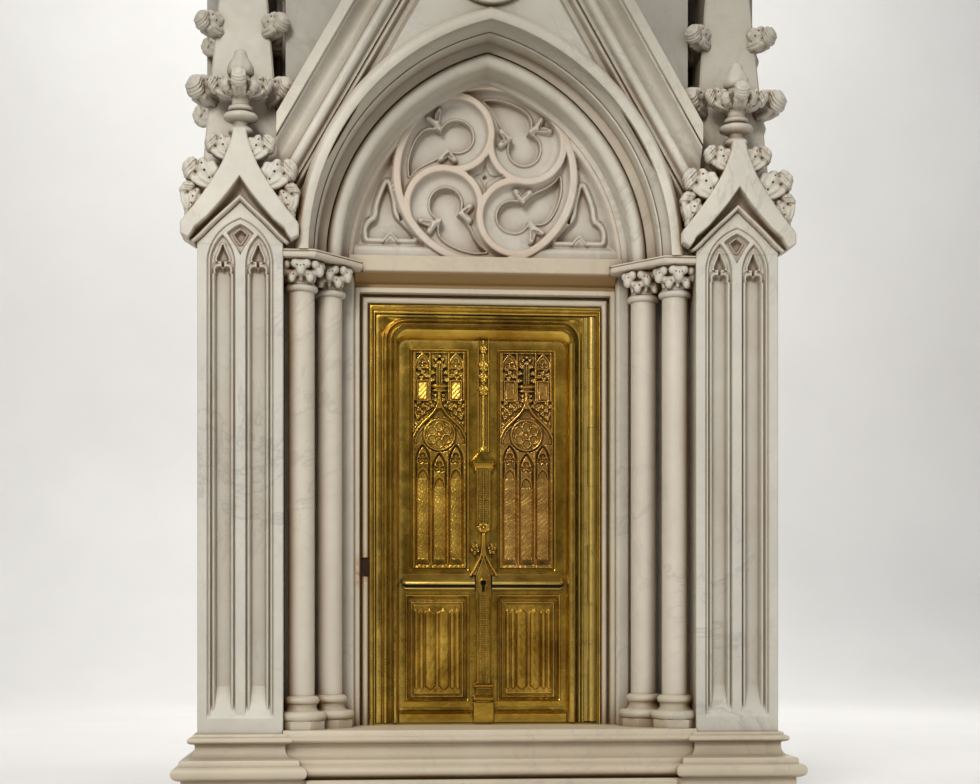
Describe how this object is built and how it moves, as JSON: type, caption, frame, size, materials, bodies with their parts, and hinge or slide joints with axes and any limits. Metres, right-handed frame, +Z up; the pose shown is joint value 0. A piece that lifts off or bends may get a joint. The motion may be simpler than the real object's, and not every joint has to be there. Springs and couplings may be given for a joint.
{
  "type": "altar tabernacle",
  "caption": "Gothic altar tabernacle: a carved marble front with arch, gable, spires and paired colonnettes round a hinged brass door that locks over a cedar-lined chamber.",
  "frame": {"origin": "centre of the underside of the plinth, below the face of the stone round the door", "axes": "+X right, +Y back into the altar, +Z up; the door faces -Y"},
  "size_m": [0.808, 0.5, 1.454],
  "materials": {
    "marble": "honed white marble with faint grey veins and tan stains in the hollows",
    "chamber_stone": "sawn marble slabs",
    "cast_brass": "cast and burnished, dark tarnish in the recesses",
    "hinge_brass": "drawn brass, lightly tarnished",
    "lock_steel": "blackened steel",
    "bolt_steel": "bright, worn along the edges",
    "rusted_iron": "rusted",
    "cedar": "oiled boards"
  },
  "bodies": {
    "tabernacle": {"arch_inner_order": "marble", "arch_outer_order": "marble", "buttress_base_left": "marble", "buttress_base_right": "marble", "buttress_left": "marble", "buttress_right": "marble", "capital_left": "marble", "capital_right": "marble", "cedar_floor_top": "cedar", "cedar_wall_boards": "cedar", "chamber_back": "chamber_stone", "chamber_cheek_left": "chamber_stone", "chamber_cheek_right": "chamber_stone", "chamber_floor": "chamber_stone", "chamber_roof": "chamber_stone", "column_bases_left": "marble", "column_bases_right": "marble", "door_border_frame": "cast_brass", "door_surround": "marble", "gable_finial": "marble", "gable_rake_left": "marble", "gable_rake_right": "marble", "gable_wall": "marble", "gablet_finial_left": "marble", "gablet_finial_right": "marble", "gablet_left": "marble", "gablet_right": "marble", "hinge_fixed_leaf": "hinge_brass", "hinge_pin": "hinge_brass", "hinge_screws_frame": "hinge_brass", "inner_shaft_left": "marble", "inner_shaft_right": "marble", "jamb_left": "marble", "jamb_right": "marble", "lintel": "marble", "lower_plinth": "marble", "outer_shaft_left": "marble", "outer_shaft_right": "marble", "screen_wall_left": "marble", "screen_wall_right": "marble", "sill_block": "marble", "spire_left": "marble", "spire_right": "marble", "strike_box": "rusted_iron", "tympanum": "marble"},
    "door": {"door_leaf": "cast_brass", "tracery_panel_left": "cast_brass", "tracery_panel_right": "cast_brass", "linenfold_panel_left": "cast_brass", "linenfold_panel_right": "cast_brass", "drip_ledges": "cast_brass", "astragal": "cast_brass", "keyhole_hood": "cast_brass", "hinge_moving_leaf": "hinge_brass", "hinge_screws_door": "hinge_brass", "lock_case": "lock_steel", "lock_cover": "lock_steel", "bolt_guide": "lock_steel"},
    "bolt": {"lock_bolt": "bolt_steel"},
    "lever": {"lock_lever": "bolt_steel"}
  },
  "joints": [
    {"name": "door_hinge", "type": "hinge", "parent": "tabernacle", "child": "door", "pos_m": [0.1448, -0.004, 0.38], "axis": [0, 0, 1], "range_deg": [0, 110]},
    {"name": "bolt_throw", "type": "slide", "parent": "door", "child": "bolt", "axis": [-1, 0, 0], "range_m": [0, 0.011]},
    {"name": "lever_lift", "type": "hinge", "parent": "door", "child": "lever", "pos_m": [0.0255, 0.027, 0.322], "axis": [0, 1, 0], "range_deg": [0, 8]}
  ]
}
